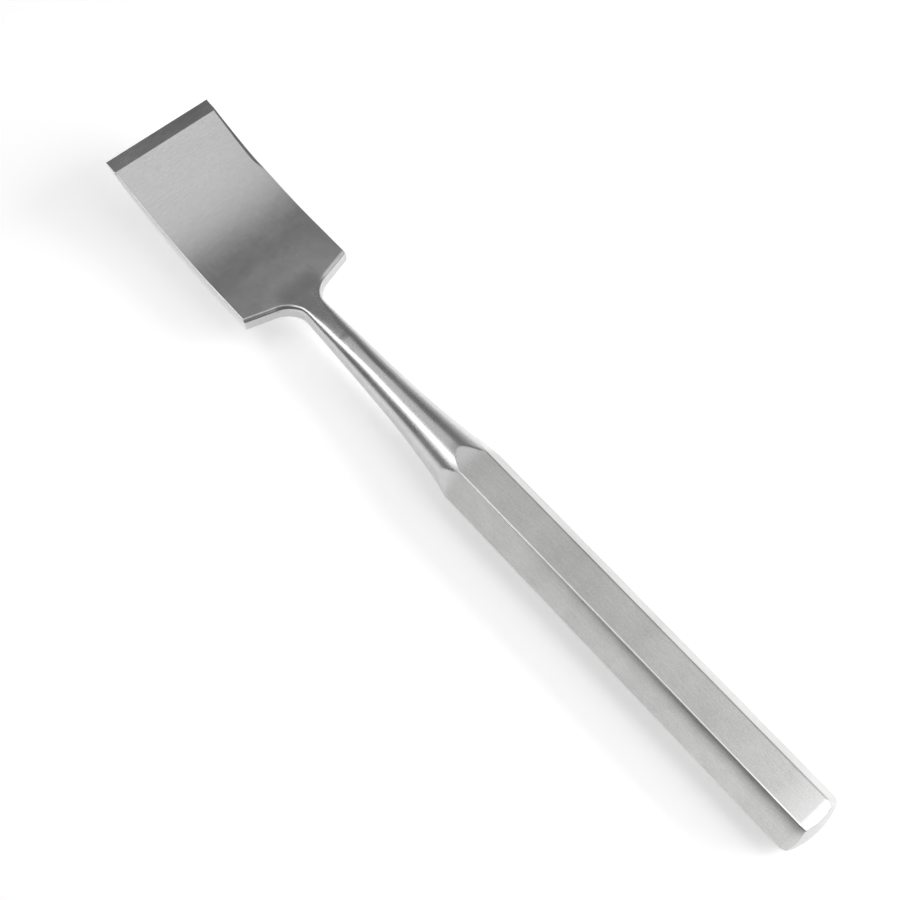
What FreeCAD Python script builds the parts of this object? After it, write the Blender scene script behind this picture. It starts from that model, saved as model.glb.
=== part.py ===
import FreeCAD, Part
import math
import os
import Sketcher

# Bone chisel in one piece: a hexagonal bar handle with a domed butt, a turned neck,
# and a flat blade that curves up to a single-bevel cutting edge.
#
# Build frame: X runs along the handle axis towards the blade, Z is up, and X = 0 is where
# the six corners of the handle meet the turned flare. The finished piece is then moved so
# that the origin is the middle of the flat side that the handle rests on.

SIZES = [
    ("handle_across_flats", 13.8, "width of the hexagonal handle over two opposite flats"),
    ("handle_length", 102.8, "top of the butt dome to the start of the flare"),
    ("handle_edge_radius", 0.3, "rounding of the six long corners"),
    ("butt_dome_radius", 17.5, "turned dome on the end of the handle"),
    ("butt_roll_length", 3.6, "length over which each flat rolls down to the dome"),
    ("butt_roll_radius", 4.5, "radius of that roll"),
    ("neck_length", 63.0, "start of the flare to the corners of the blade shoulders"),
    ("neck_end_diameter", 5.44, "neck diameter at the level of the shoulder corners"),
    ("flare_mouth_length", 7.75, "length of the tight curve next to the handle"),
    ("flare_mouth_radius", 48.7, "radius of the tight curve"),
    ("flare_length", 28.8, "start of the flare to the start of the straight taper"),
    ("flare_easy_radius", 251.5, "radius of the long curve that runs into the taper"),
    ("blade_rise", 1.25, "height of the middle of the blade over the handle axis"),
    ("blade_width", 30.0, "width of the blade"),
    ("blade_thickness", 3.73, "thickness of the straight part of the blade"),
    ("blade_length", 53.8, "shoulder corners to the cutting edge, along the handle axis"),
    ("blade_straight", 12.9, "length of the straight part of the blade"),
    ("concave_radius", 109.4, "curve of the upper, hollow face"),
    ("convex_radius", 84.6, "curve of the lower, round face"),
    ("bevel_length", 3.7, "length of the ground bevel, along the handle axis"),
    ("shoulder_angle", 16.5, "lean of the shoulders towards the handle, in degrees"),
    ("shoulder_corner_radius", 6.5, "inner corner between shoulder and neck, seen from above"),
    ("shoulder_top_radius", 1.1, "rounding of the upper edge of the shoulders"),
    ("shoulder_bottom_radius", 0.8, "rounding of the lower edge of the shoulders"),
    ("root_width", 5.6, "width of the blade root inside the neck"),
    ("root_depth", 7.6, "reach of the blade root behind the shoulder corners"),
    ("top_flat_angle", 5.0, "slope of the flat on top of the neck, in degrees"),
    ("bottom_flat_angle", 8.0, "slope of the flat under the neck, in degrees"),
]
SIZE = {name: value for name, value, meaning in SIZES}
SIDES = 6

doc = FreeCAD.newDocument("BoneChisel")

# Driving dimensions
sheet = doc.addObject("Spreadsheet::Sheet", "Sizes")
for row, (name, value, meaning) in enumerate(SIZES, start=1):
    sheet.set("A%d" % row, name)
    sheet.set("B%d" % row, str(value))
    sheet.set("C%d" % row, meaning)
    sheet.setAlias("B%d" % row, name)
doc.recompute()

# Names of the solver's point positions on a curve
START = 1
END = 2
CENTRE = 3
ORIGIN = (-1, START)


def origin_feature(body, role):
    return next(item for item in body.Origin.OriginFeatures if item.Role == role)


def new_sketch(body, name, plane):
    sketch = body.newObject("Sketcher::SketchObject", name)
    sketch.AttachmentSupport = [(origin_feature(body, plane), "")]
    sketch.MapMode = "FlatFace"
    return sketch


def line(sketch, start, end, construction=False):
    a = FreeCAD.Vector(start[0], start[1], 0)
    b = FreeCAD.Vector(end[0], end[1], 0)
    return sketch.addGeometry(Part.LineSegment(a, b), construction)


def arc(sketch, centre, radius, first, last):
    circle = Part.Circle(FreeCAD.Vector(centre[0], centre[1], 0), FreeCAD.Vector(0, 0, 1), radius)
    return sketch.addGeometry(Part.ArcOfCircle(circle, first, last), False)


def construction_point(sketch, place):
    return sketch.addGeometry(Part.Point(FreeCAD.Vector(place[0], place[1], 0)), True)


def rule(sketch, *terms):
    sketch.addConstraint(Sketcher.Constraint(*terms))


def join(sketch, *corners):
    for first, first_end, second, second_end in corners:
        rule(sketch, "Coincident", first, first_end, second, second_end)


def join_smooth(sketch, *corners):
    for first, first_end, second, second_end in corners:
        rule(sketch, "Tangent", first, first_end, second, second_end)


def dimension(sketch, name, formula, *terms):
    index = sketch.addConstraint(Sketcher.Constraint(*terms))
    sketch.renameConstraint(index, name)
    sketch.setExpression("Constraints." + name, formula)


def across(sketch, name, formula, curve, point, guess):
    dimension(sketch, name, formula, "DistanceX", *ORIGIN, curve, point, guess)


def height(sketch, name, formula, curve, point, guess):
    dimension(sketch, name, formula, "DistanceY", *ORIGIN, curve, point, guess)


def radius_of(sketch, name, formula, curve, guess):
    dimension(sketch, name, formula, "Radius", curve, guess)


across_flats = SIZE["handle_across_flats"]
corner_radius = across_flats / math.sqrt(3)
neck_length = SIZE["neck_length"]
handle_length = SIZE["handle_length"]

# Handle and neck
bar = doc.addObject("PartDesign::Body", "HandleAndNeck")

# Hexagon with flat sides on top and below
hexagon = new_sketch(bar, "Hexagon", "YZ_Plane")
corners = []
for number in range(SIDES):
    turn = 2 * math.pi * number / SIDES
    corners.append((corner_radius * math.cos(turn), corner_radius * math.sin(turn)))
for number in range(SIDES):
    line(hexagon, corners[number], corners[(number + 1) % SIDES])
circle = hexagon.addGeometry(
    Part.Circle(FreeCAD.Vector(0, 0, 0), FreeCAD.Vector(0, 0, 1), corner_radius), True
)
rule(hexagon, "Coincident", circle, CENTRE, *ORIGIN)
for number in range(SIDES):
    join(hexagon, (number, END, (number + 1) % SIDES, START))
    rule(hexagon, "PointOnObject", number, START, circle)
for number in range(1, SIDES):
    rule(hexagon, "Equal", 0, number)
rule(hexagon, "Horizontal", 1)
height(hexagon, "half_across_flats", "Sizes.handle_across_flats / 2", 1, START, across_flats / 2)
doc.recompute()

stock = bar.newObject("PartDesign::Pad", "Bar")
stock.Profile = hexagon
stock.Type = "Length"
stock.Type2 = "Length"
stock.SideType = "Two sides"
stock.setExpression("Length", "Sizes.neck_length")
stock.setExpression("Length2", "Sizes.handle_length + Sizes.handle_across_flats / 4")
doc.recompute()

# Long corners broken by a small rounding
long_edges = []
for number, edge in enumerate(stock.Shape.Edges, start=1):
    if abs(edge.BoundBox.XLength - edge.Length) < 1e-6:
        long_edges.append("Edge%d" % number)
softened = bar.newObject("PartDesign::Fillet", "LongCorners")
softened.Base = (stock, long_edges)
softened.setExpression("Radius", "Sizes.handle_edge_radius")
doc.recompute()

# Roll of one flat towards the butt, repeated on all six
roll_radius = SIZE["butt_roll_radius"]
roll_start = -(handle_length - SIZE["butt_roll_length"])
roll_end = -handle_length
roll_low = across_flats / 2 - roll_radius
roll_turn = math.acos((roll_start - roll_end) / roll_radius)
roll_foot = roll_low + roll_radius * math.sin(roll_turn)
roll = new_sketch(bar, "ButtRoll", "XZ_Plane")
curve = arc(roll, (roll_start, roll_low), roll_radius, math.pi / 2, math.pi - roll_turn)
up = line(roll, (roll_end, roll_foot), (roll_end, across_flats))
over = line(roll, (roll_end, across_flats), (roll_start, across_flats))
down = line(roll, (roll_start, across_flats), (roll_start, across_flats / 2))
join(roll, (curve, END, up, START), (up, END, over, START), (over, END, down, START))
join(roll, (down, END, curve, START))
rule(roll, "Vertical", up)
rule(roll, "Horizontal", over)
rule(roll, "Vertical", down)
rule(roll, "Vertical", curve, CENTRE, curve, START)
radius_of(roll, "roll_radius", "Sizes.butt_roll_radius", curve, roll_radius)
height(roll, "flat_height", "Sizes.handle_across_flats / 2", curve, START, across_flats / 2)
height(roll, "cut_height", "Sizes.handle_across_flats", over, START, across_flats)
dimension(roll, "roll_place", "Sizes.handle_length - Sizes.butt_roll_length",
          "DistanceX", curve, START, *ORIGIN, -roll_start)
dimension(roll, "roll_reach", "Sizes.handle_length", "DistanceX", curve, END, *ORIGIN, -roll_end)
doc.recompute()

rolled = bar.newObject("PartDesign::Pocket", "ButtRollCut")
rolled.Profile = roll
rolled.Type = "ThroughAll"
rolled.SideType = "Symmetric"
doc.recompute()
all_rolled = bar.newObject("PartDesign::PolarPattern", "ButtRolls")
all_rolled.Originals = [rolled]
all_rolled.Axis = (origin_feature(bar, "X_Axis"), [""])
all_rolled.Angle = 360
all_rolled.Occurrences = SIDES
bar.Tip = all_rolled
doc.recompute()

# Dome turned on the butt
dome_radius = SIZE["butt_dome_radius"]
dome_centre = dome_radius - handle_length
dome_turn = math.asin(across_flats / 1.5 / dome_radius)
dome_rim = (dome_centre - dome_radius * math.cos(dome_turn), dome_radius * math.sin(dome_turn))
stock_end = -(handle_length + across_flats / 2)
dome = new_sketch(bar, "ButtDome", "XZ_Plane")
curve = arc(dome, (dome_centre, 0), dome_radius, math.pi - dome_turn, math.pi)
axis_line = line(dome, (-handle_length, 0), (stock_end, 0))
back = line(dome, (stock_end, 0), (stock_end, dome_rim[1]))
over = line(dome, (stock_end, dome_rim[1]), dome_rim)
join(dome, (curve, END, axis_line, START), (axis_line, END, back, START))
join(dome, (back, END, over, START), (over, END, curve, START))
rule(dome, "PointOnObject", curve, CENTRE, -1)
rule(dome, "PointOnObject", curve, END, -1)
rule(dome, "Horizontal", axis_line)
rule(dome, "Vertical", back)
rule(dome, "Horizontal", over)
radius_of(dome, "dome_radius", "Sizes.butt_dome_radius", curve, dome_radius)
height(dome, "cut_height", "Sizes.handle_across_flats / 1.5", over, START, across_flats / 1.5)
dimension(dome, "dome_top", "Sizes.handle_length", "DistanceX", curve, END, *ORIGIN, handle_length)
dimension(dome, "cut_reach", "Sizes.handle_length + Sizes.handle_across_flats / 2",
          "DistanceX", back, START, *ORIGIN, -stock_end)
doc.recompute()

domed = bar.newObject("PartDesign::Groove", "ButtDomeCut")
domed.Profile = dome
domed.ReferenceAxis = (dome, ["H_Axis"])
domed.Angle = 360
doc.recompute()

# Flare and tapered neck, turned on an axis that climbs gently to the middle of the blade
mouth_x = SIZE["flare_mouth_length"]
mouth_radius = SIZE["flare_mouth_radius"]
easy_x = SIZE["flare_length"]
easy_radius = SIZE["flare_easy_radius"]
end_radius = SIZE["neck_end_diameter"] / 2
easy_span = easy_x - mouth_x
curve_drop = (easy_span ** 2 / 2 + mouth_x * easy_span) / easy_radius + mouth_x ** 2 / 2 / mouth_radius
taper_slope = (corner_radius - end_radius - curve_drop) / neck_length
mouth_slope = taper_slope + easy_span / easy_radius
taper_top = end_radius + taper_slope * (neck_length - easy_x)
mouth_foot = taper_top + taper_slope * easy_span + easy_span ** 2 / 2 / easy_radius
lead_in = corner_radius - across_flats / 2
start_slope = mouth_slope + (mouth_x + lead_in) / mouth_radius
past_end = neck_length + across_flats / 4
past_radius = end_radius - taper_slope * across_flats / 4
pitch = math.atan(SIZE["blade_rise"] / neck_length)

neck = new_sketch(bar, "NeckProfile", "XZ_Plane")
neck.AttachmentOffset = FreeCAD.Placement(
    FreeCAD.Vector(0, 0, 0), FreeCAD.Rotation(FreeCAD.Vector(0, 0, 1), math.degrees(pitch))
)
neck.setExpression("AttachmentOffset.Rotation.Angle", "atan(Sizes.blade_rise / Sizes.neck_length)")
mouth_centre = (mouth_x + mouth_radius * mouth_slope, mouth_foot + mouth_radius)
easy_centre = (easy_x + easy_radius * taper_slope, taper_top + easy_radius)
three_quarters = 1.5 * math.pi
mouth_turn = three_quarters - math.atan(mouth_slope)
mouth = arc(neck, mouth_centre, mouth_radius, three_quarters - math.atan(start_slope), mouth_turn)
easy = arc(neck, easy_centre, easy_radius, mouth_turn, three_quarters - math.atan(taper_slope))
taper = line(neck, (easy_x, taper_top), (past_end, past_radius))
wall = line(neck, (past_end, past_radius), (past_end, across_flats))
over = line(neck, (past_end, across_flats), (-lead_in, across_flats))
down = line(neck, (-lead_in, across_flats), (-lead_in, corner_radius + lead_in * start_slope))
join_smooth(neck, (mouth, END, easy, START), (easy, END, taper, START))
join(neck, (taper, END, wall, START), (wall, END, over, START))
join(neck, (over, END, down, START), (down, END, mouth, START))
rule(neck, "Vertical", wall)
rule(neck, "Horizontal", over)
rule(neck, "Vertical", down)
meeting = construction_point(neck, (0, corner_radius))
rule(neck, "PointOnObject", meeting, START, -2)
rule(neck, "PointOnObject", meeting, START, mouth)
height(neck, "corner_height", "Sizes.handle_across_flats / sqrt(3)", meeting, START, corner_radius)
neck_end = construction_point(neck, (neck_length, end_radius))
rule(neck, "PointOnObject", neck_end, START, taper)
across(neck, "neck_length", "Sizes.neck_length", neck_end, START, neck_length)
height(neck, "end_radius", "Sizes.neck_end_diameter / 2", neck_end, START, end_radius)
radius_of(neck, "mouth_radius", "Sizes.flare_mouth_radius", mouth, mouth_radius)
radius_of(neck, "easy_radius", "Sizes.flare_easy_radius", easy, easy_radius)
across(neck, "mouth_length", "Sizes.flare_mouth_length", easy, START, mouth_x)
across(neck, "flare_length", "Sizes.flare_length", easy, END, easy_x)
height(neck, "cut_height", "Sizes.handle_across_flats", over, START, across_flats)
across(neck, "cut_end", "Sizes.neck_length + Sizes.handle_across_flats / 4", wall, START, past_end)
dimension(neck, "cut_start", "Sizes.handle_across_flats * (1 / sqrt(3) - 1 / 2)",
          "DistanceX", down, END, *ORIGIN, lead_in)
doc.recompute()

turned = bar.newObject("PartDesign::Groove", "NeckCut")
turned.Profile = neck
turned.ReferenceAxis = (neck, ["H_Axis"])
turned.Angle = 360
doc.recompute()

# Flats that thin the end of the neck down to the faces of the blade
face_top = SIZE["blade_rise"] + SIZE["blade_thickness"] / 2
face_bottom = SIZE["blade_rise"] - SIZE["blade_thickness"] / 2
taper_run = neck_length - easy_x
flats = new_sketch(bar, "NeckFlats", "XZ_Plane")
for name, level, side, cell in (
    ("top", face_top, 1, "top_flat_angle"),
    ("bottom", face_bottom, -1, "bottom_flat_angle"),
):
    sign = "+" if side > 0 else "-"
    start = (neck_length, level)
    far = (easy_x, level + side * taper_run * math.tan(math.radians(SIZE[cell])))
    slope = line(flats, start, far)
    rise = line(flats, far, (easy_x, side * across_flats))
    over = line(flats, (easy_x, side * across_flats), (neck_length, side * across_flats))
    fall = line(flats, (neck_length, side * across_flats), start)
    join(flats, (slope, END, rise, START), (rise, END, over, START))
    join(flats, (over, END, fall, START), (fall, END, slope, START))
    rule(flats, "Vertical", rise)
    rule(flats, "Horizontal", over)
    rule(flats, "Vertical", fall)
    across(flats, name + "_start", "Sizes.neck_length", slope, START, neck_length)
    across(flats, name + "_reach", "Sizes.flare_length", slope, END, easy_x)
    level_formula = "Sizes.blade_rise %s Sizes.blade_thickness / 2" % sign
    height(flats, name + "_level", level_formula, slope, START, level)
    run_formula = "(Sizes.neck_length - Sizes.flare_length) * tan(Sizes.%s * 1 deg)" % cell
    height(flats, name + "_slope", "%s %s %s" % (level_formula, sign, run_formula), slope, END, far[1])
    cut_formula = "%s Sizes.handle_across_flats" % sign
    height(flats, name + "_cut", cut_formula, over, START, side * across_flats)
doc.recompute()

flattened = bar.newObject("PartDesign::Pocket", "NeckFlatsCut")
flattened.Profile = flats
flattened.Type = "ThroughAll"
flattened.SideType = "Symmetric"
doc.recompute()

# Blade
plate = doc.addObject("PartDesign::Body", "Blade")

# Side view: straight root, two curves and the bevel that meets the lower curve in an edge
concave = SIZE["concave_radius"]
convex = SIZE["convex_radius"]
bend_x = neck_length + SIZE["blade_straight"]
tip_x = neck_length + SIZE["blade_length"]
bevel_x = tip_x - SIZE["bevel_length"]
root_x = neck_length - SIZE["root_depth"]
concave_turn = math.asin((bevel_x - bend_x) / concave)
convex_turn = math.asin((tip_x - bend_x) / convex)
bevel_start = (bevel_x, face_top + concave * (1 - math.cos(concave_turn)))
tip = (tip_x, face_bottom + convex * (1 - math.cos(convex_turn)))

side = new_sketch(plate, "BladeSide", "XZ_Plane")
top = line(side, (root_x, face_top), (bend_x, face_top))
hollow = arc(side, (bend_x, face_top + concave), concave, three_quarters, three_quarters + concave_turn)
bevel = line(side, bevel_start, tip)
round_face = arc(side, (bend_x, face_bottom + convex), convex, three_quarters, three_quarters + convex_turn)
bottom = line(side, (bend_x, face_bottom), (root_x, face_bottom))
back = line(side, (root_x, face_bottom), (root_x, face_top))
join_smooth(side, (top, END, hollow, START), (round_face, START, bottom, START))
join(side, (hollow, END, bevel, START), (bevel, END, round_face, END))
join(side, (bottom, END, back, START), (back, END, top, START))
rule(side, "Horizontal", top)
rule(side, "Horizontal", bottom)
rule(side, "Vertical", back)
radius_of(side, "concave_radius", "Sizes.concave_radius", hollow, concave)
radius_of(side, "convex_radius", "Sizes.convex_radius", round_face, convex)
height(side, "top_level", "Sizes.blade_rise + Sizes.blade_thickness / 2", top, START, face_top)
height(side, "bottom_level", "Sizes.blade_rise - Sizes.blade_thickness / 2", bottom, END, face_bottom)
across(side, "root", "Sizes.neck_length - Sizes.root_depth", top, START, root_x)
across(side, "top_bend", "Sizes.neck_length + Sizes.blade_straight", hollow, START, bend_x)
across(side, "bottom_bend", "Sizes.neck_length + Sizes.blade_straight", round_face, START, bend_x)
across(side, "tip", "Sizes.neck_length + Sizes.blade_length", bevel, END, tip_x)
across(side, "bevel_start", "Sizes.neck_length + Sizes.blade_length - Sizes.bevel_length",
       bevel, START, bevel_x)
doc.recompute()

blank = plate.newObject("PartDesign::Pad", "BladeBlank")
blank.Profile = side
blank.Type = "Length"
blank.SideType = "Symmetric"
blank.setExpression("Length", "Sizes.blade_width")
doc.recompute()

# Plan view: what is cut away behind one shoulder, then mirrored to the other side
half_width = SIZE["blade_width"] / 2
root_half = SIZE["root_width"] / 2
inner_radius = SIZE["shoulder_corner_radius"]
lean = math.radians(SIZE["shoulder_angle"])
outside = half_width + inner_radius
cut_back = root_x - inner_radius
inner_x = neck_length - (half_width - root_half - inner_radius) * math.tan(lean) - inner_radius / math.cos(lean)
inner_y = root_half + inner_radius
wall_foot = (inner_x + inner_radius * math.cos(lean), inner_y - inner_radius * math.sin(lean))
wall_top = (neck_length + inner_radius * math.tan(lean), outside)
plan = new_sketch(plate, "ShoulderPlan", "XY_Plane")
wall = line(plan, wall_foot, wall_top)
over = line(plan, wall_top, (cut_back, outside))
back = line(plan, (cut_back, outside), (cut_back, root_half))
root = line(plan, (cut_back, root_half), (inner_x, root_half))
inner = arc(plan, (inner_x, inner_y), inner_radius, three_quarters, 2 * math.pi - lean)
join(plan, (wall, END, over, START), (over, END, back, START), (back, END, root, START))
join_smooth(plan, (root, END, inner, START), (inner, END, wall, START))
rule(plan, "Horizontal", over)
rule(plan, "Vertical", back)
rule(plan, "Horizontal", root)
corner = construction_point(plan, (neck_length, half_width))
rule(plan, "PointOnObject", corner, START, wall)
across(plan, "corner_place", "Sizes.neck_length", corner, START, neck_length)
height(plan, "corner_width", "Sizes.blade_width / 2", corner, START, half_width)
dimension(plan, "wall_lean", "90 - Sizes.shoulder_angle", "Angle", wall, math.pi / 2 - lean)
radius_of(plan, "inner_radius", "Sizes.shoulder_corner_radius", inner, inner_radius)
height(plan, "root_half", "Sizes.root_width / 2", root, START, root_half)
height(plan, "cut_side", "Sizes.blade_width / 2 + Sizes.shoulder_corner_radius", over, START, outside)
across(plan, "cut_back", "Sizes.neck_length - Sizes.root_depth - Sizes.shoulder_corner_radius",
       back, START, cut_back)
doc.recompute()

shoulder = plate.newObject("PartDesign::Pocket", "ShoulderCut")
shoulder.Profile = plan
shoulder.Type = "ThroughAll"
shoulder.SideType = "Symmetric"
doc.recompute()
shoulders = plate.newObject("PartDesign::Mirrored", "Shoulders")
shoulders.Originals = [shoulder]
shoulders.MirrorPlane = (origin_feature(plate, "XZ_Plane"), [""])
plate.Tip = shoulders
doc.recompute()


# Edges of the shoulder walls at one level, from the blade's side to its root
def shoulder_edges(shape, level):
    names = []
    for number, edge in enumerate(shape.Edges, start=1):
        box = edge.BoundBox
        middle = edge.valueAt((edge.FirstParameter + edge.LastParameter) / 2)
        on_level = max(abs(box.ZMin - level), abs(box.ZMax - level)) < 1e-6
        on_wall = root_x + 1e-6 < middle.x < neck_length and abs(middle.y) < half_width - 1e-6
        if on_level and on_wall and box.YLength > 1e-3:
            names.append("Edge%d" % number)
    return names


upper = plate.newObject("PartDesign::Fillet", "ShoulderTop")
upper.Base = (shoulders, shoulder_edges(shoulders.Shape, face_top))
upper.setExpression("Radius", "Sizes.shoulder_top_radius")
doc.recompute()
lower = plate.newObject("PartDesign::Fillet", "ShoulderBottom")
lower.Base = (upper, shoulder_edges(upper.Shape, face_bottom))
lower.setExpression("Radius", "Sizes.shoulder_bottom_radius")
doc.recompute()

# The whole chisel is one piece of steel
chisel = doc.addObject("Part::Fuse", "Chisel")
chisel.Base = bar
chisel.Tool = plate
chisel.Refine = True
chisel.Label = "bone_chisel"
chisel.setExpression("Placement.Base.x", "Sizes.handle_length / 2")
chisel.setExpression("Placement.Base.z", "Sizes.handle_across_flats / 2")
doc.recompute()

# Every object must have come out sound before anything is written
for item in doc.Objects:
    for bad in ("Invalid", "Error"):
        if bad in item.State:
            raise RuntimeError("%s is in state %s" % (item.Name, item.State))
steps = [stock, softened, rolled, all_rolled, domed, turned, flattened]
for before, after in zip(steps, steps[1:]):
    if after.Shape.Volume >= before.Shape.Volume:
        raise RuntimeError("%s removes nothing" % after.Name)
steps = [blank, shoulder, shoulders, upper, lower]
for before, after in zip(steps, steps[1:]):
    if after.Shape.Volume >= before.Shape.Volume:
        raise RuntimeError("%s removes nothing" % after.Name)
if chisel.Shape.isNull() or not chisel.Shape.isValid() or len(chisel.Shape.Solids) != 1:
    raise RuntimeError("the chisel is not one valid solid")

os.makedirs("parts", exist_ok=True)
chisel.Shape.exportStep("parts/bone_chisel.step")
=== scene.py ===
import math

import bmesh
import bpy
import numpy as np
from bpy.props import FloatProperty, FloatVectorProperty, PointerProperty
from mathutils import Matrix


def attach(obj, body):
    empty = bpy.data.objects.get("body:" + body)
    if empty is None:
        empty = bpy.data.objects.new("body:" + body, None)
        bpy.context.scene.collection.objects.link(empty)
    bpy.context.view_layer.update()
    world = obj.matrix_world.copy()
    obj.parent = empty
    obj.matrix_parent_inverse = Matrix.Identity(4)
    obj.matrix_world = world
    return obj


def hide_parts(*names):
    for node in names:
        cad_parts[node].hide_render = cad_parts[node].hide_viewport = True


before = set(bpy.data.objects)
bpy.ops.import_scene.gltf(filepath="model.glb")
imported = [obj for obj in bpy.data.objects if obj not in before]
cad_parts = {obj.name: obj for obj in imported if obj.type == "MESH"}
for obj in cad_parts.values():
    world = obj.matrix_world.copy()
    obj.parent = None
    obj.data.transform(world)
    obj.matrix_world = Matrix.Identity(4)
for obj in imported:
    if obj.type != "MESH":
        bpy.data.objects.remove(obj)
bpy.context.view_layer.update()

bl_info = {
    "name": "Bone chisel",
    "version": (1, 0, 0),
    "blender": (4, 5, 0),
    "location": "3D View > Sidebar > Chisel",
    "description": "One-piece bone chisel in satin steel, on a pale studio floor",
    "category": "Object",
}

MM = 0.001
NODE = "bone_chisel"

# Steps of a ring from side to side over the top, and as many underneath
RING_STEPS = 96
# Angle of one side of the hexagon
SECTOR = math.pi / 3
# Degrees from a corner of the hexagon at which ring points are crowded
CORNER_DEGREES = (0.0, 0.35, 0.75, 1.15, 1.6, 2.1, 2.6, 3.2, 4.0)
# Points on the curved and on the straight part of the outline of a shoulder
CURVE_POINTS = 900
WALL_POINTS = 300
# Places of the rings past the shoulder corner, about the bevel line and up to the cutting edge, in mm
PAST_CORNER = np.array([0.06, 0.15, 0.3, 0.5, 0.75, 1.05, 1.4, 1.8, 2.3, 2.9, 3.7, 4.7, 5.9, 7.3, 9])
ABOUT_BEVEL = np.array([-0.25, -0.1, -0.03, 0.03, 0.1, 0.25])
UP_TO_TIP = np.array([-0.1, -0.03, 0.0])
# Heights of the points on a side wall, as shares of the wall
WALL_SHARES = (0.04, 0.5, 0.96)
# Power of a round cross-section, and what the squarer end of the neck adds to it
ROUND_POWER = 2
SQUARER = 0.65


def mm_value(name, description, value):
    return FloatProperty(
        name=name, description=description, default=value * MM, unit="LENGTH", precision=5,
    )


def angle_value(name, description, degrees):
    return FloatProperty(
        name=name, description=description, default=math.radians(degrees), subtype="ANGLE",
    )


def share_value(name, description, value):
    return FloatProperty(
        name=name, description=description, default=value, min=0.0, max=1.0, subtype="FACTOR",
    )


def colour_value(name, description, colour):
    return FloatVectorProperty(
        name=name, description=description, default=colour, size=3, min=0.0, max=1.0, subtype="COLOR",
    )


def metre_value(name, description, value):
    return FloatProperty(name=name, description=description, default=value, unit="LENGTH")


def level_value(name, description, value):
    return FloatProperty(name=name, description=description, default=value, min=0.0)


class ChiselSizes(bpy.types.PropertyGroup):
    """Sizes of the chisel"""

    across_flats: mm_value("Across flats", "Width of the hexagonal handle over two flats", 13.8)
    handle_length: mm_value("Handle length", "Top of the butt dome to the start of the flare", 102.8)
    handle_edge: mm_value("Handle edge", "Rounding of the six long corners", 0.3)
    dome_radius: mm_value("Dome radius", "Turned dome on the butt", 17.5)
    roll_length: mm_value("Roll length", "Length over which each flat rolls down to the dome", 3.6)
    roll_radius: mm_value("Roll radius", "Radius of that roll", 4.5)
    neck_length: mm_value("Neck length", "Start of the flare to the shoulder corners", 63.0)
    neck_end: mm_value("Neck end", "Neck diameter at the level of the shoulder corners", 5.44)
    mouth_length: mm_value("Mouth length", "Length of the tight curve next to the handle", 7.75)
    mouth_radius: mm_value("Mouth radius", "Radius of the tight curve", 48.7)
    flare_length: mm_value("Flare length", "Start of the flare to the start of the taper", 28.8)
    easy_radius: mm_value("Easy radius", "Radius of the long curve into the taper", 251.5)
    blade_rise: mm_value("Blade rise", "Height of the middle of the blade over the handle axis", 1.25)
    blade_width: mm_value("Blade width", "Width of the blade", 30.0)
    blade_thickness: mm_value("Blade thickness", "Thickness of the straight part of the blade", 3.73)
    blade_length: mm_value("Blade length", "Shoulder corners to the cutting edge", 53.8)
    blade_straight: mm_value("Blade straight", "Length of the straight part of the blade", 12.9)
    concave_radius: mm_value("Hollow face radius", "Curve of the upper face", 109.4)
    convex_radius: mm_value("Round face radius", "Curve of the lower face", 84.6)
    bevel_length: mm_value("Bevel length", "Length of the ground bevel", 3.7)
    shoulder_angle: angle_value("Shoulder angle", "Lean of the shoulders towards the handle", 16.5)
    corner_radius: mm_value("Inner corner", "Inner corner between shoulder and neck", 6.5)
    root_half: mm_value("Root half width", "Half the width at which the inner corner meets the neck", 2.8)
    shoulder_top: mm_value("Shoulder top rounding", "Rounding of the upper edge of the shoulders", 1.1)
    shoulder_bottom: mm_value("Shoulder bottom rounding", "Rounding of their lower edge", 0.8)
    left_break: mm_value("Left break", "Width of the break along the blade's upper left edge", 0.3)
    left_slope: angle_value("Left slope", "Slope of that break", 27.0)
    side_edge: mm_value("Side edge", "Break of the long edges of the blade", 0.16)
    rolled_edge: mm_value("Rolled edge", "Greatest width ground down along the blade's right edge", 0.85)
    rolled_reach: mm_value("Rolled reach", "How far back from the bevel that ground strip runs", 19.5)
    rolled_slope: angle_value("Rolled slope", "Slope of that ground strip", 22.0)
    crown_width: mm_value("Crown width", "Width of the swell of the left flat beside the top flat", 3.3)
    crown_swell: mm_value("Crown swell", "How far the left flat swells there at the butt", 0.29)
    top_flat: angle_value("Top flat slope", "Slope of the flat on top of the neck", 5.0)
    bottom_flat: angle_value("Bottom flat slope", "Slope of the flat under the neck", 8.0)
    edge_land: mm_value("Edge land", "Thickness left at the cutting edge", 0.03)


class SteelLook(bpy.types.PropertyGroup):
    """Finish of the steel"""

    handle_colour: colour_value("Handle colour", "Satin steel of the handle", (0.55, 0.55, 0.545))
    blade_colour: colour_value("Blade colour", "Polished steel of the neck and blade", (0.59, 0.59, 0.598))
    # Bright edge colour: rubbed steel, and painted highlights on the left ridge, the butt roll and the
    # blade's long edges
    rubbed_and_highlight_colour: colour_value("Worn colour", "Bright steel where edges are rubbed", (0.86, 0.86, 0.855))
    handle_roughness: share_value("Handle roughness", "Roughness of the handle", 0.40)
    neck_roughness: share_value("Neck roughness", "Roughness of the neck", 0.26)
    blade_roughness: share_value("Blade roughness", "Roughness of the blade", 0.24)
    worn_roughness: share_value("Worn roughness", "Roughness of the rubbed edges", 0.18)
    grain_depth: mm_value("Grain depth", "Depth of the polishing grain", 0.0008)
    mottle: share_value("Mottle", "How much the cloudy patches shift the colour", 0.16)
    # Strength of the bright edge mask, which paints highlights as well as rubbed wear
    wear_and_highlight: share_value("Wear", "How strongly the edges are rubbed bright", 1.0)


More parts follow.
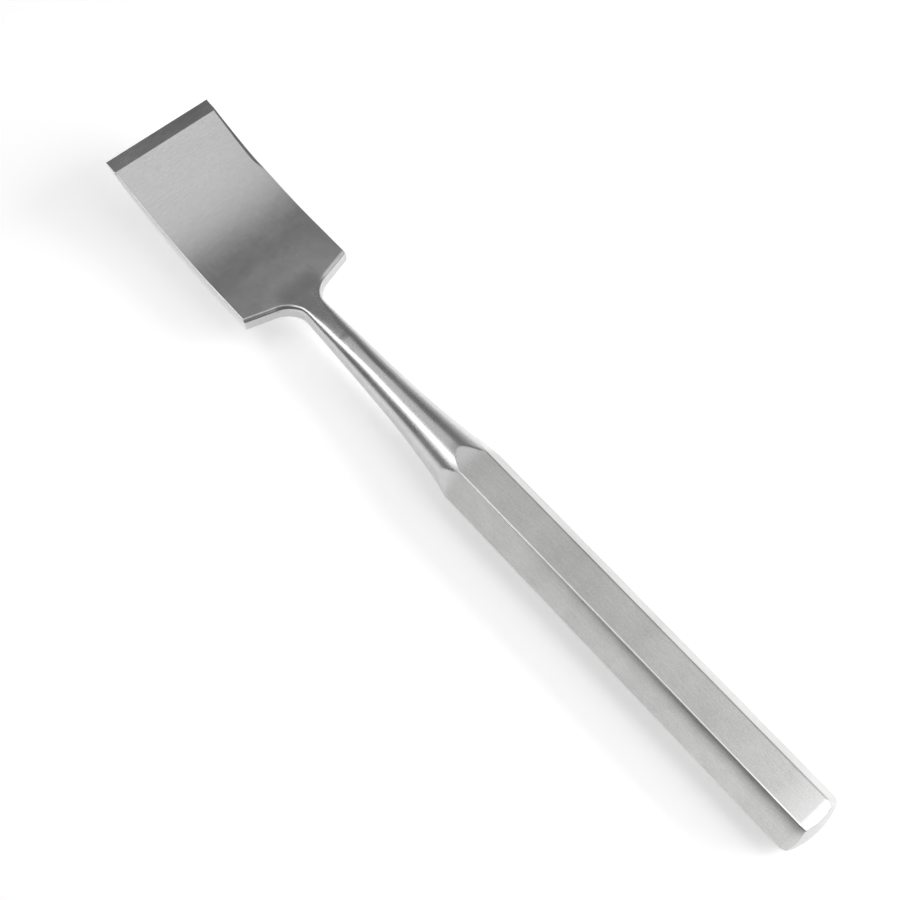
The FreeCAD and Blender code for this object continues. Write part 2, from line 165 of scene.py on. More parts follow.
class StageLook(bpy.types.PropertyGroup):
    """Floor, lights and camera"""

    camera_place: FloatVectorProperty(
        name="Camera place", description="Where the camera stands", size=3,
        default=(-0.05081, 0.09480, 0.29169), subtype="TRANSLATION",
    )
    camera_tip: angle_value("Camera tip", "Tip of the camera from straight down", 27.108)
    camera_turn: angle_value("Camera turn", "Turn of the camera about the vertical", -130.767)
    camera_lens: FloatProperty(
        name="Camera lens", description="Focal length", default=57.396, unit="CAMERA",
    )
    floor_size: metre_value("Floor size", "Side of the floor", 6.0)
    room_level: level_value("Room level", "Brightness of the dark room overhead", 0.17)
    box_height: metre_value("Box height", "Height of the overhead boxes", 0.237)
    box_level: level_value("Box level", "Brightness of the main box", 0.80)
    butt_level: level_value("Butt level", "What the box over the butt adds", 0.85)
    strip_height: metre_value("Strip height", "Height of the neck box", 0.507)
    strip_level: level_value("Strip level", "Brightness of the neck box", 2.2)
    wash_level: level_value("Wash level", "Brightness of the box that metal doesn't show", 7.0)
    backdrop_level: level_value("Backdrop level", "Brightness of the pale backdrop", 0.68)
    floor_glow: level_value("Floor glow", "Brightness the floor has without light", 0.36)
    far_glow: level_value("Far glow", "The same far from the object", 1.0)


def smooth_step(low, high, value):
    t = np.clip((value - low) / (high - low), 0.0, 1.0)
    return t * t * (3 - 2 * t)


def smooth_min(a, b, width):
    h = np.maximum(width - np.abs(a - b), 0.0) / width
    return np.minimum(a, b) - h * h * width / 4


def smooth_max(a, b, width):
    return -smooth_min(-a, -b, width)


# Shape of the chisel in mm, with X = 0 at the start of the flare and Z = 0 on the handle axis
class ChiselShape:
    def __init__(self, sizes):
        for name, rule in sizes.bl_rna.properties.items():
            if name not in ("rna_type", "name"):
                value = getattr(sizes, name)
                setattr(self, name, value if rule.unit == "ROTATION" else value / MM)
        self.apothem = self.across_flats / 2
        self.hex_corner = self.across_flats / math.sqrt(3)
        self.dome_x = self.dome_radius - self.handle_length
        self.roll_start = self.roll_length - self.handle_length
        self.pitch = self.blade_rise / self.neck_length
        self.half_width = self.blade_width / 2
        self.bend_x = self.neck_length + self.blade_straight
        self.tip_x = self.neck_length + self.blade_length
        self.bevel_x = self.tip_x - self.bevel_length
        self.face_top = self.blade_rise + self.blade_thickness / 2
        self.face_bottom = self.blade_rise - self.blade_thickness / 2
        self._solve_neck()
        self._solve_plan()

    # Slope of the taper that makes the curves of the flare end at the neck's diameter
    def _solve_neck(self):
        span = self.flare_length - self.mouth_length
        end_radius = self.neck_end / 2
        drop = (span ** 2 / 2 + self.mouth_length * span) / self.easy_radius
        drop += self.mouth_length ** 2 / 2 / self.mouth_radius
        self.taper = (self.hex_corner - end_radius - drop) / self.neck_length
        self.taper_top = end_radius + self.taper * (self.neck_length - self.flare_length)

    # Centre of the inner corner's arc, and the foot of the straight shoulder, seen from above
    def _solve_plan(self):
        lean = self.shoulder_angle
        radius = self.corner_radius
        self.inner_x = self.neck_length - (self.half_width - self.root_half - radius) * math.tan(lean)
        self.inner_x -= radius / math.cos(lean)
        self.inner_y = self.root_half + radius
        self.foot = (self.inner_x + radius * math.cos(lean), self.inner_y - radius * math.sin(lean))

    # Share from 0 to 1 between two stations, given in mm before the shoulder corners
    def near_blade(self, first, last, x):
        return smooth_step(self.neck_length - first, self.neck_length - last, x)

    def neck_radius(self, x):
        x = np.asarray(x, float)
        span = self.flare_length - self.mouth_length
        easy = np.clip(self.flare_length - x, 0, span)
        mouth = np.maximum(self.mouth_length - x, 0)
        radius = self.taper_top + self.taper * (self.flare_length - x)
        radius = radius + easy ** 2 / 2 / self.easy_radius
        return radius + mouth * span / self.easy_radius + mouth ** 2 / 2 / self.mouth_radius

    def neck_rise(self, x):
        return self.pitch * np.maximum(x, 0)

    # Half width of the neck and of the inner corner, up to the foot of the straight shoulder
    def neck_half(self, x):
        reach = np.clip(x - self.inner_x, 0, self.corner_radius * math.cos(self.shoulder_angle))
        corner = self.inner_y - np.sqrt(self.corner_radius ** 2 - reach ** 2)
        return smooth_max(self.neck_radius(x), corner, 0.5)

    # Power of the neck's cross-section: 2 is round, higher is squarer
    def neck_power(self, x):
        return ROUND_POWER + SQUARER * self.near_blade(30, 11, x)

    def blade_top(self, x):
        run = np.clip(x - self.bend_x, 0, self.bevel_x - self.bend_x)
        hollow = self.concave_radius - np.sqrt(self.concave_radius ** 2 - run ** 2)
        bevel = np.clip((x - self.bevel_x) / self.bevel_length, 0, 1)
        span = self.bevel_x - self.bend_x
        start = self.concave_radius - math.sqrt(self.concave_radius ** 2 - span ** 2)
        tip = self.blade_bottom(self.tip_x) + self.edge_land - self.face_top
        return self.face_top + hollow + bevel * (tip - start)

    def blade_bottom(self, x):
        run = np.clip(x - self.bend_x, 0, self.tip_x - self.bend_x)
        return self.face_bottom + self.convex_radius - np.sqrt(self.convex_radius ** 2 - run ** 2)

    # Radius of a hexagon with rounded corners
    def hexagon(self, angle, apothem):
        offset = np.mod(angle, SECTOR) - SECTOR / 2
        flat = apothem / np.cos(offset)
        inner = (apothem - self.handle_edge) / math.cos(SECTOR / 2)
        limit = np.arctan2((apothem - self.handle_edge) * math.tan(SECTOR / 2), apothem)
        turn = SECTOR / 2 - np.abs(offset)
        root = np.sqrt(np.maximum(self.handle_edge ** 2 - (inner * np.sin(turn)) ** 2, 0))
        return np.where(np.abs(offset) > limit, inner * np.cos(turn) + root, flat)

    # Left flat swells slightly beside the top flat, more and more towards the butt
    def crowned(self, x, angle, radius):
        share = self.crown_swell * float(smooth_step(0.05, 0.7, -x / self.handle_length))
        offset = angle - SECTOR / 2
        near = np.abs(offset) < SECTOR / 2
        offset = np.where(near, offset, 0)
        side = self.hex_corner
        place = side / 2 - self.apothem * np.tan(offset)
        swell = 1 - np.clip(1 - place / self.crown_width, 0, 1) ** 3
        swell = swell - np.clip((place - self.crown_width) / (side - self.crown_width), 0, 1)
        return np.where(near, radius + share * swell / np.cos(offset), radius)

    # Radius of the turned neck, seen from a centre that lies the given gap below its axis
    def turned(self, x, angle, gap):
        neck = float(self.neck_radius(x))
        radius = gap * np.sin(angle) + np.sqrt(neck ** 2 - (gap * np.cos(angle)) ** 2)
        power = float(self.neck_power(x))
        return radius / (np.abs(np.cos(angle)) ** power + np.abs(np.sin(angle)) ** power) ** (1 / power)


def ring_angles(count, sharp):
    """Angles from the +Y side over the top to the -Y side; sharp 1 crowds them at the corners."""
    even = np.linspace(0, math.pi, count + 1)
    near = np.radians(CORNER_DEGREES)
    inner = np.linspace(near[-1], SECTOR - near[-1], count // 3 - 2 * (len(near) - 1) + 1)
    one = np.concatenate([near[:-1], inner, SECTOR - near[:-1][::-1]])
    crowded = np.concatenate([one[:-1] + SECTOR * i for i in range(3)] + [[math.pi]])
    return even * (1 - sharp) + crowded * sharp


def handle_stations(shape):
    """X of each ring from the butt to the plain neck, closer together where the form turns."""
    steps = np.concatenate([np.linspace(0.6, 14, 12), np.linspace(14.5, 36.2, 60)])
    dome = shape.dome_x - shape.dome_radius * np.cos(np.radians(steps))
    return np.concatenate([
        dome,
        np.linspace(dome[-1] + 0.08, shape.roll_start, 8),
        np.linspace(shape.roll_start, -1.6, 14)[1:],
        np.arange(-1.5, 5.2, 0.08),
        np.linspace(5.4, 12, 16),
        np.linspace(12.8, shape.neck_length - 19, 40),
    ])


def handle_rings(shape, count):
    """Rings of the butt, the handle and the turned neck, each its top half and then its lower half."""
    rings = []
    for x in handle_stations(shape):
        over = ring_angles(count, 1 - smooth_step(3.0, 30.0, x))
        angle = np.concatenate([over, -over])
        roll = max(shape.roll_start - x, 0)
        apothem = shape.apothem - shape.roll_radius + math.sqrt(max(shape.roll_radius ** 2 - roll ** 2, 0))
        radius = shape.crowned(x, angle, shape.hexagon(angle, apothem))
        if x < shape.roll_start:
            dome = math.sqrt(max(shape.dome_radius ** 2 - (x - shape.dome_x) ** 2, 0))
            radius = smooth_min(radius, dome, 0.12)
        rise = float(shape.neck_rise(x))
        lift = rise * float(smooth_step(6, 24, x))
        if x > -2:
            turned = shape.turned(x, angle, rise - lift)
            radius = smooth_min(radius, turned, 0.05) if x < 6 else turned
        columns = [np.full(len(angle), x), radius * np.cos(angle), lift + radius * np.sin(angle)]
        rings.append(np.stack(columns, 1))
    return rings


def outline_path(shape):
    """Outline of the +Y side seen from above, from the plain neck to the shoulder corner, and its lengths."""
    xs = np.linspace(shape.neck_length - 27, shape.foot[0], CURVE_POINTS)
    curve = np.stack([xs, shape.neck_half(xs)], 1)
    corner = np.array([shape.neck_length, shape.half_width])
    wall = curve[-1] + (corner - curve[-1]) * np.linspace(0, 1, WALL_POINTS)[1:, None]
    points = np.concatenate([curve, wall])
    length = np.concatenate([[0], np.cumsum(np.linalg.norm(np.diff(points, axis=0), axis=1))])
    return points, length


def outline_distance(shape, plan, path):
    """Distance of plan points from the outline, and the station of the outline next to each."""
    x = plan[:, 0]
    y = np.abs(plan[:, 1])
    gap = path[None, :, :] - np.stack([x, y], 1)[:, None, :]
    distances = np.linalg.norm(gap, axis=2)
    nearest = distances.argmin(1)
    distance = distances[np.arange(len(x)), nearest]
    beyond = (y > 0) & (nearest == len(path) - 1)
    lean = shape.shoulder_angle
    to_wall = (x - shape.neck_length) * math.cos(lean) + (shape.half_width - y) * math.sin(lean)
    return np.where(beyond, to_wall, distance), path[nearest][:, 0]


def round_over(distance, across, down, power=ROUND_POWER):
    """Drop of a face towards an edge that is rounded over the given width and depth."""
    t = np.clip(1 - distance / across, 0, 1)
    return down * (1 - np.maximum(1 - t ** power, 0) ** (1 / power))


def plain_faces(shape, x, y):
    """Top and bottom heights before the edges are rounded, where the neck runs out into the blade."""
    radius = shape.neck_radius(x)
    centre = shape.neck_rise(x)
    back = smooth_max(shape.neck_length - 2 - x, 0, 8)
    neck_top = shape.face_top + back * math.tan(shape.top_flat)
    neck_top = smooth_min(centre + radius, neck_top, 0.35)
    neck_bottom = shape.face_bottom - back * math.tan(shape.bottom_flat)
    neck_bottom = smooth_max(centre - radius, neck_bottom, 0.35)
    share = (1 - smooth_step(2.6, 8.0, np.abs(y))) * (1 - shape.near_blade(3, -4, x))
    top = shape.blade_top(x) + (neck_top - shape.face_top) * share
    bottom = shape.blade_bottom(x) + (neck_bottom - shape.face_bottom) * share
    return top, bottom


def side_break(shape, x, y, thickness):
    """Depth of the break of both long edges, with the strip ground down along the right one."""
    depth = np.minimum(shape.side_edge, np.maximum(thickness / 2.2, 1e-4))
    side = round_over(shape.half_width - np.abs(y), shape.side_edge, 1.0) * depth
    side = np.where(x > shape.neck_length - 0.5, side, 0)
    reach = shape.bevel_x - shape.rolled_reach
    strip = shape.rolled_edge * smooth_step(reach, reach + 5, x)
    strip = strip * (1 - 0.35 * smooth_step(reach + 5, shape.bevel_x, x))
    strip = strip * (1 - smooth_step(shape.bevel_x - 0.2, shape.bevel_x + 0.6, x))
    ground = np.clip(strip - (shape.half_width + y), 0, None) * math.tan(shape.rolled_slope)
    return side + np.minimum(ground, np.maximum(thickness - 0.1, 0) / 2)


def left_edge_break(shape, x, y):
    """Depth of the break along the blade's upper left edge."""
    depth = np.clip(shape.left_break - shape.half_width + y, 0, None) * math.tan(shape.left_slope)
    depth = depth * shape.near_blade(0.2, -1, x)
    return depth * (1 - smooth_step(shape.bevel_x - 0.5, shape.bevel_x + 0.5, x))


def face_heights(shape, plan, path):
    """Top and bottom heights of the neck end, shoulders and blade over plan points, with rounded edges."""
    x, y = plan[:, 0], plan[:, 1]
    distance, station = outline_distance(shape, plan, path)
    top, bottom = plain_faces(shape, x, y)
    radius = shape.neck_radius(x)
    centre = shape.neck_rise(x)
    settle = shape.near_blade(15, 5, station)
    shift = shape.near_blade(9, 2.5, station)
    power = shape.neck_power(station) - ROUND_POWER
    power = ROUND_POWER + power * (1 - shape.near_blade(11, 5, station))
    top_across = radius * (1 - settle) + shape.shoulder_top * settle
    bottom_across = radius * (1 - settle) + shape.shoulder_bottom * settle
    top_down = (top - centre) * (1 - shift) + shape.shoulder_top * shift
    bottom_down = (centre - bottom) * (1 - shift) + shape.shoulder_bottom * shift
    upper = top - round_over(distance, top_across, top_down, power)
    lower = bottom + round_over(distance, bottom_across, bottom_down, power)
    side = side_break(shape, x, y, top - bottom)
    upper = np.minimum(upper, top - side - left_edge_break(shape, x, y))
    lower = np.maximum(lower, bottom + side)
    return upper, lower


def blade_rings(shape, count):
    """Rings of the neck end, the shoulders and the blade."""
    path, length = outline_path(shape)

    def length_at(x):
        return np.interp(x, path[:CURVE_POINTS, 0], length[:CURVE_POINTS])

    corner = shape.neck_length
    foot = length[CURVE_POINTS - 1]
    starts = np.concatenate([
        length_at(np.linspace(corner - 18.2, corner - 10, 12)),
        np.linspace(length_at(corner - 9.6), foot, 44),
        np.linspace(foot, length[-1], 44)[1:],
    ])
    first = length_at(corner - 9)
    edges = []
    middles = []
    for start in starts:
        x = np.interp(start, length, path[:, 0])
        share = max((start - first) / (length[-1] - first), 0.0)
        edges.append((x, np.interp(start, length, path[:, 1])))
        middles.append(max(x, corner - 9 + 12.5 * share) if share > 0 else x)
    lead = middles[-1] - corner
    blade = np.concatenate([
        corner + PAST_CORNER,
        np.linspace(corner + 10.2, shape.bend_x, 5),
        np.linspace(shape.bend_x, shape.bevel_x - 0.5, 44)[1:],
        shape.bevel_x + ABOUT_BEVEL,
        np.linspace(shape.bevel_x + 0.6, shape.tip_x - 0.25, 8),
        shape.tip_x + UP_TO_TIP,
    ])
    for x in blade:
        edges.append((x, shape.half_width))
        middles.append(x + lead * (1 - smooth_step(0, 34, x - corner)))
    turn = ring_angles(count, 0.0)
    rings = []
    for (x, y), middle in zip(edges, middles):
        plan = np.stack([x + (middle - x) * np.sin(turn), y * np.cos(turn)], 1)
        upper, lower = face_heights(shape, plan, path)
        rings.append(np.concatenate([np.column_stack([plan, upper]), np.column_stack([plan, lower])]))
    return rings


def surface_masks(shape, world):
    """Where the steel is polished, where it is blade or bevel, and where its edges are bright (painted
    highlights, partly rubbed wear) or dark (painted shade).
    """
    x = world[:, 0] / MM - shape.handle_length / 2
    y = world[:, 1] / MM
    z = world[:, 2] / MM - shape.apothem
    from_butt = x + shape.handle_length
    dome = np.sqrt(np.maximum(shape.dome_radius ** 2 - (shape.dome_radius - from_butt) ** 2, 0))
    roll = smooth_step(0.04, 0.2, dome - np.hypot(y, z)) * (np.arctan2(z, np.abs(y)) > SECTOR)
    roll = roll * (1 - smooth_step(shape.roll_length - 1.4, shape.roll_length + 0.8, from_butt))
    polished = np.maximum(smooth_step(-1.0, 3.0, x), 0.85 * roll)
    blade = shape.near_blade(12, -2, x)
    bevel = smooth_step(shape.bevel_x - 0.05, shape.bevel_x + 0.05, x)
    turn = np.mod(np.arctan2(z, y), SECTOR)
    ridge = np.minimum(turn, SECTOR - turn) * shape.hex_corner
    top_side = (z > shape.apothem - 0.04) * (1 - smooth_step(-0.6, 0.4, x)) * (from_butt > 1)
    # Painted highlight: a bright line on the top flat's side of the left ridge, standing in for the light
    # that ridge reflects
    left_highlight_line = (1 - smooth_step(0.25, 0.4, ridge)) * (y > 0)
    # Painted shade: a dark line on the top flat beside the right ridge, standing in for the dark room that
    # ridge reflects
    dark_line = (1 - smooth_step(0.2, 0.45, ridge)) * (y < 0) * top_side
    side = (1 - smooth_step(0.05, 0.3, shape.half_width - np.abs(y))) * (x > shape.neck_length)
    tip = 1 - smooth_step(0.05, 0.35, shape.tip_x - x)
    # Bright edge mask: the left ridge line, the butt roll and the blade's long edges are painted highlights;
    # the cutting edge is brightened too
    edge = np.maximum(left_highlight_line * top_side, 0.35 * roll)
    edge = np.maximum(edge, 0.6 * np.maximum(side, tip))
    return {"polished": polished, "blade": blade, "bevel": bevel, "edge": edge, "dark_line": dark_line}


def ring_loop(ring, count):
    """One closed loop of points: over the top, down one side wall, back under and up the other wall."""
    over = ring[: count + 1]
    under = ring[count + 1:]
    walls = []
    for a, b in ((over[-1], under[-1]), (under[0], over[0])):
        walls.append(np.array([a + (b - a) * share for share in WALL_SHARES]))
    return np.concatenate([over, walls[0], under[::-1], walls[1]])


def skin_faces(number, size, count):
    """Faces between the loops, a fan that closes the butt and a strip that closes the cutting edge."""
    faces = []
    for i in range(number - 1):
        for k in range(size):
            n = (k + 1) % size
            faces.append((i * size + k, (i + 1) * size + k, (i + 1) * size + n, i * size + n))
    apex = number * size
    for k in range(size):
        faces.append((apex, k, (k + 1) % size))
    last = (number - 1) * size
    under = last + count + 1 + len(WALL_SHARES)
    for k in range(count):
        faces.append((last + k, last + k + 1, under + count - k - 1, under + count - k))
    return faces


def build_mesh(name, shape, count):
    rings = handle_rings(shape, count) + blade_rings(shape, count)
    loops = [ring_loop(ring, count) for ring in rings]
    world = np.concatenate(loops + [[[-shape.handle_length, 0, 0]]]) * MM
    world[:, 0] += shape.handle_length / 2 * MM
    world[:, 2] += shape.apothem * MM
    mesh = bpy.data.meshes.new(name)
    mesh.from_pydata([tuple(point) for point in world], [], skin_faces(len(loops), len(loops[0]), count))
    bm = bmesh.new()
    bm.from_mesh(mesh)
    bmesh.ops.remove_doubles(bm, verts=bm.verts, dist=1e-7)
    bmesh.ops.recalc_face_normals(bm, faces=bm.faces)
    bm.to_mesh(mesh)
    bm.free()
    for polygon in mesh.polygons:
        polygon.use_smooth = True
    places = np.zeros(len(mesh.vertices) * 3)
    mesh.vertices.foreach_get("co", places)
    for label, values in surface_masks(shape, places.reshape(-1, 3)).items():
        mesh.attributes.new(label, "FLOAT", "POINT").data.foreach_set("value", values)
    return mesh


class Tree:
    """Short ways to add and link nodes in one node tree"""

    def __init__(self, tree):
        self.tree = tree

    def link(self, value, socket):
        self.tree.links.new(value, socket)

    def add(self, kind, inputs=(), **settings):
        node = self.tree.nodes.new(kind)
        for name, value in settings.items():
            setattr(node, name, value)
        for socket, value in dict(inputs).items():
            if isinstance(value, bpy.types.NodeSocket):
                self.link(value, node.inputs[socket])
            else:
                node.inputs[socket].default_value = value
        return node

    def math(self, operation, a, b=0.0, clamp=False):
        return self.add("ShaderNodeMath", {0: a, 1: b}, operation=operation, use_clamp=clamp).outputs[0]

    def mix(self, share, a, b):
        return self.add("ShaderNodeMix", {0: share, 2: a, 3: b}, data_type="FLOAT").outputs[0]

    def blend(self, share, a, b):
        return self.add("ShaderNodeMix", {0: share, 6: a, 7: b}, data_type="RGBA").outputs[2]

    def scaled(self, vector, x, y, z):
        scale = self.add("ShaderNodeCombineXYZ", {0: x, 1: y, 2: z}).outputs[0]
        return self.add("ShaderNodeVectorMath", {0: vector, 1: scale}, operation="MULTIPLY").outputs[0]

    def noise(self, **inputs):
        return self.add("ShaderNodeTexNoise", inputs).outputs[0]

    def attribute(self, name):
        return self.add("ShaderNodeAttribute", attribute_name=name).outputs["Fac"]

    def ramp(self, value, low, high):
        inputs = {"Value": value, "From Min": low, "From Max": high}
        return self.add("ShaderNodeMapRange", inputs, interpolation_type="SMOOTHSTEP").outputs[0]

    def use(self, group, **inputs):
        return self.add("ShaderNodeGroup", inputs, node_tree=group).outputs[0]


def new_group(name, inputs, output):
    """A node group with named float or vector inputs and one float output."""
    group = bpy.data.node_groups.new(name, "ShaderNodeTree")
    for label, value in inputs.items():
        kind = "NodeSocketVector" if value is None else "NodeSocketFloat"
        socket = group.interface.new_socket(label, in_out="INPUT", socket_type=kind)
        if value is not None:
            socket.default_value = value
    group.interface.new_socket(output, in_out="OUTPUT", socket_type="NodeSocketFloat")
    tree = Tree(group)
    return tree, tree.add("NodeGroupInput").outputs, tree.add("NodeGroupOutput").inputs[output]


def grain_group():
    """Fine polishing lines, drawn out along one direction; counts are lines per metre."""
    inputs = {"Place": None, "Along": 200.0, "Across": 4000.0}
    tree, given, height = new_group("polishing_grain", inputs, "Height")
    place = tree.scaled(given["Place"], given["Along"], given["Across"], given["Across"])
    tree.link(tree.noise(Vector=place, Scale=1.0, Detail=3.0, Roughness=0.65), height)
    return tree.tree


def cloud_group():
    """Soft cloudy patches left by hand polishing, around zero."""
    inputs = {"Place": None, "Size": 60.0, "Stretch": 1.0}
    tree, given, shift = new_group("cloudy_patches", inputs, "Shift")
    place = tree.scaled(given["Place"], 1.0, given["Stretch"], 1.0)
    cloud = tree.noise(Vector=place, Scale=given["Size"], Detail=2.0, Roughness=0.5, Distortion=0.4)
    tree.link(tree.math("MULTIPLY", tree.math("SUBTRACT", cloud, 0.5), 4.0), shift)
    return tree.tree


def wear_and_highlight_group():
    """Bright edges, partly rubbed wear and partly painted highlight: the edge mask, broken up by small uneven
    patches.
    """
    inputs = {"Place": None, "Edge": 0.0, "Amount": 1.0}
    tree, given, mask = new_group("rubbed_edges", inputs, "Mask")
    uneven = tree.ramp(tree.noise(Vector=given["Place"], Scale=900.0, Detail=2.0), 0.25, 0.6)
    wear_and_highlight_mask = tree.math("MULTIPLY", given["Edge"], tree.mix(0.85, uneven, 1.0))
    tree.link(tree.math("MULTIPLY", wear_and_highlight_mask, given["Amount"], clamp=True), mask)
    return tree.tree


def steel_material(look):
    material = bpy.data.materials.new("satin_steel")
    material.use_nodes = True
    tree = Tree(material.node_tree)
    shader = material.node_tree.nodes["Principled BSDF"]
    place = tree.add("ShaderNodeTexCoord").outputs["Object"]
    polished = tree.attribute("polished")
    blade = tree.attribute("blade")
    bevel = tree.attribute("bevel")

    # Effects
    grain = grain_group()
    cloud = cloud_group()
    long_lines = tree.use(grain, Place=place, Along=260.0, Across=5200.0)
    cross_lines = tree.use(grain, Place=place, Along=5200.0, Across=420.0)
    speckle = tree.use(grain, Place=place, Along=2600.0, Across=3200.0)
    patches = tree.use(cloud, Place=place, Size=110.0, Stretch=0.45)
    broad = tree.use(cloud, Place=place, Size=28.0, Stretch=1.0)
    wear_and_highlight_mask = tree.use(wear_and_highlight_group(), Place=place, Edge=tree.attribute("edge"), Amount=look.wear_and_highlight)
    shift = tree.math("ADD", tree.math("MULTIPLY", patches, 0.6), tree.math("MULTIPLY", broad, 0.4))
    lines = tree.mix(blade, tree.mix(0.6, long_lines, speckle), tree.mix(0.5, cross_lines, long_lines))
    lines = tree.mix(bevel, lines, cross_lines)
    fine = tree.math("SUBTRACT", lines, 0.5)

    # Colour, with painted highlights on the edges and a painted shade line beside the right ridge
    base = tree.blend(polished, (*look.handle_colour, 1), (*look.blade_colour, 1))
    cloudy = tree.math("MULTIPLY", shift, tree.mix(polished, look.mottle, 0.6 * look.mottle))
    light = tree.math("ADD", 1.0, cloudy)
    light = tree.math("ADD", light, tree.math("MULTIPLY", fine, tree.mix(polished, 1.0, 0.55)))
    light = tree.math("ADD", light, tree.math("MULTIPLY", bevel, 0.06))
    # Painted shade: a darker line in the colour beside the right ridge
    light = tree.math("SUBTRACT", light, tree.math("MULTIPLY", tree.attribute("dark_line"), 0.3))
    tinted = tree.scaled(base, light, light, light)
    # Painted highlights and rubbed wear: the edge mask blends the colour towards the bright edge colour
    tree.link(tree.blend(wear_and_highlight_mask, tinted, (*look.rubbed_and_highlight_colour, 1)), shader.inputs["Base Color"])

    # Roughness
    rough = tree.mix(polished, look.handle_roughness, look.neck_roughness)
    rough = tree.mix(blade, rough, look.blade_roughness)
    rough = tree.math("ADD", rough, tree.math("MULTIPLY", shift, 0.05))
    rough = tree.math("ADD", rough, tree.math("MULTIPLY", fine, 0.10))
    tree.link(tree.mix(wear_and_highlight_mask, rough, look.worn_roughness), shader.inputs["Roughness"])

    # Grain in the surface
    bump = tree.add("ShaderNodeBump", {"Strength": 1.0, "Distance": look.grain_depth, "Height": lines})
    tree.link(bump.outputs[0], shader.inputs["Normal"])
    shader.inputs["Metallic"].default_value = 1.0
    return material


class CHISEL_OT_body(bpy.types.Operator):
    """Build the chisel as one piece of steel"""

    bl_idname = "chisel.body"
    bl_label = "Chisel"

    def execute(self, context):
        shape = ChiselShape(context.scene.chisel_sizes)
        mesh = build_mesh("chisel", shape, RING_STEPS)
        piece = bpy.data.objects.new("chisel", mesh)
        context.scene.collection.objects.link(piece)
        mesh.materials.append(steel_material(context.scene.chisel_steel))
        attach(piece, "root")
        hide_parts(NODE)
        return {"FINISHED"}


def floor_material(stage):
    """White floor with a glow of its own, which rises far from the object."""
    material = bpy.data.materials.new("floor_white")
    material.use_nodes = True
    tree = Tree(material.node_tree)
    shader = material.node_tree.nodes["Principled BSDF"]
    shader.inputs["Base Color"].default_value = (0.9, 0.9, 0.9, 1)
    shader.inputs["Roughness"].default_value = 0.9
    shader.inputs["Specular IOR Level"].default_value = 0.0
    shader.inputs["Emission Color"].default_value = (1, 1, 1, 1)
    place = tree.add("ShaderNodeTexCoord").outputs["Object"]
    distance = tree.add("ShaderNodeVectorMath", {0: place}, operation="LENGTH").outputs["Value"]
    glow = tree.mix(tree.ramp(distance, 0.25, 0.9), stage.floor_glow, stage.far_glow)
    tree.link(glow, shader.inputs["Emission Strength"])
    return material


def add_floor(context, stage):
    half = stage.floor_size / 2
    corners = [(-half, -half, 0), (half, -half, 0), (half, half, 0), (-half, half, 0)]
    mesh = bpy.data.meshes.new("floor")
    mesh.from_pydata(corners, [], [(0, 1, 2, 3)])
    mesh.materials.append(floor_material(stage))
    floor = bpy.data.objects.new("floor", mesh)
    context.scene.collection.objects.link(floor)


def add_room(context, stage):
    """Dark room with a pale backdrop on the -Y side, which the camera sees as white."""
    world = bpy.data.worlds.new("room")
    world.use_nodes = True
    tree = Tree(world.node_tree)
    background = world.node_tree.nodes["Background"]
    background.inputs["Color"].default_value = (1, 1, 1, 1)
    rays = tree.add("ShaderNodeLightPath").outputs
    direction = tree.add("ShaderNodeTexCoord").outputs["Generated"]
    way = tree.add("ShaderNodeSeparateXYZ", {0: direction}).outputs
    backdrop = tree.math("MULTIPLY", tree.ramp(way[2], 0.55, 0.10), tree.ramp(way[1], -0.1, -0.5))
    horizon = tree.math("MULTIPLY", tree.ramp(way[2], 0.10, 0.0), rays["Is Glossy Ray"])
    pale = tree.math("MAXIMUM", backdrop, tree.math("MULTIPLY", horizon, 0.4))
    room = tree.mix(pale, stage.room_level, stage.backdrop_level)
    tree.link(tree.mix(rays["Is Camera Ray"], room, 1.0), background.inputs["Strength"])
    context.scene.world = world


def add_soft_box(context, name, across, along, height, level):
    """A lamp that faces straight down over a rectangle of the floor and shows at the given level."""
    width = across[1] - across[0]
    depth = along[1] - along[0]
    data = bpy.data.lights.new(name, "AREA")
    data.shape = "RECTANGLE"
    data.size = width
    data.size_y = depth
    data.energy = level * math.pi * width * depth
    light = bpy.data.objects.new(name, data)
    light.visible_camera = False
    light.location = (sum(across) / 2, sum(along) / 2, height)
    context.scene.collection.objects.link(light)
    return light


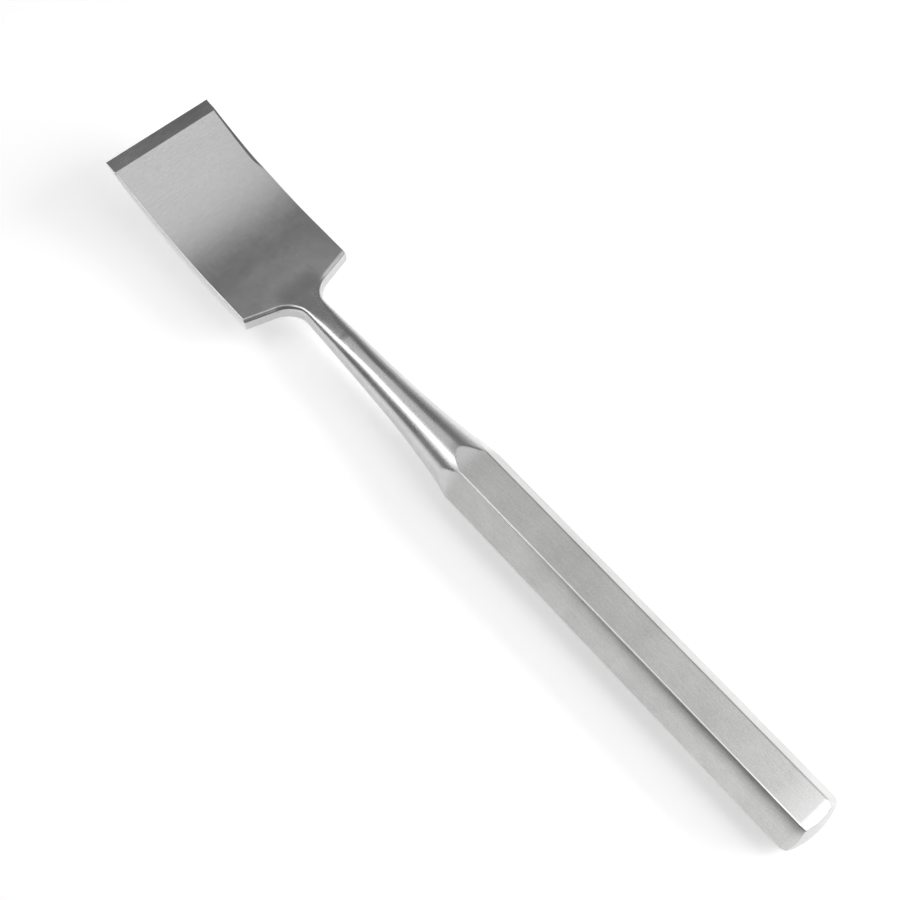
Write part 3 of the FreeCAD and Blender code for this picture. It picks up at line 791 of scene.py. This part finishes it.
def add_lights(context, stage):
    low = stage.box_height
    high = stage.strip_height
    # Name, X limits, Y limits, height and level of each soft box
    boxes = (
        ("main_box", (-0.70, 0.15), (-0.19, -0.016), low, stage.box_level),
        ("end_box", (0.151, 0.233), (-0.113, 0.05), low, stage.box_level),
        ("butt_box", (-0.70, -0.03), (-0.33, 0.02), low - 0.006, stage.butt_level),
        ("neck_strip", (0.15, 0.75), (0.155, 0.50), high, stage.strip_level),
        ("flare_strip", (0.60, 0.80), (0.501, 0.74), high, stage.strip_level),
    )
    for box in boxes:
        add_soft_box(context, *box)
    wash = add_soft_box(context, "floor_wash", (-0.50, 0.0), (-0.55, -0.20), 0.22, stage.wash_level)
    wash.visible_glossy = False


def add_camera(context, stage):
    camera = bpy.data.objects.new("camera", bpy.data.cameras.new("camera"))
    camera.data.lens = stage.camera_lens
    camera.data.sensor_width = 36
    camera.data.clip_start = 0.01
    camera.location = stage.camera_place
    camera.rotation_euler = (stage.camera_tip, 0, stage.camera_turn)
    context.scene.collection.objects.link(camera)
    context.scene.camera = camera


class CHISEL_OT_stage(bpy.types.Operator):
    """Set the floor, the lights and the camera"""

    bl_idname = "chisel.stage"
    bl_label = "Stage"

    def execute(self, context):
        stage = context.scene.chisel_stage
        add_floor(context, stage)
        add_room(context, stage)
        add_lights(context, stage)
        add_camera(context, stage)
        context.scene.view_settings.view_transform = "Standard"
        return {"FINISHED"}


class CHISEL_PT_panel(bpy.types.Panel):
    """Lists the steps that build the chisel"""

    bl_idname = "CHISEL_PT_panel"
    bl_label = "Bone chisel"
    bl_space_type = "VIEW_3D"
    bl_region_type = "UI"
    bl_category = "Chisel"

    def draw(self, context):
        layout = self.layout
        layout.operator(CHISEL_OT_body.bl_idname)
        layout.operator(CHISEL_OT_stage.bl_idname)
        for group in (context.scene.chisel_sizes, context.scene.chisel_steel, context.scene.chisel_stage):
            box = layout.box()
            for name in group.bl_rna.properties.keys():
                if name not in ("rna_type", "name"):
                    box.prop(group, name)


CLASSES = (ChiselSizes, SteelLook, StageLook, CHISEL_OT_body, CHISEL_OT_stage, CHISEL_PT_panel)


def register():
    for item in CLASSES:
        bpy.utils.register_class(item)
    bpy.types.Scene.chisel_sizes = PointerProperty(type=ChiselSizes)
    bpy.types.Scene.chisel_steel = PointerProperty(type=SteelLook)
    bpy.types.Scene.chisel_stage = PointerProperty(type=StageLook)


def unregister():
    del bpy.types.Scene.chisel_stage
    del bpy.types.Scene.chisel_steel
    del bpy.types.Scene.chisel_sizes
    for item in reversed(CLASSES):
        bpy.utils.unregister_class(item)


def main():
    register()
    bpy.ops.chisel.body()
    bpy.ops.chisel.stage()


if __name__ == "__main__":
    main()
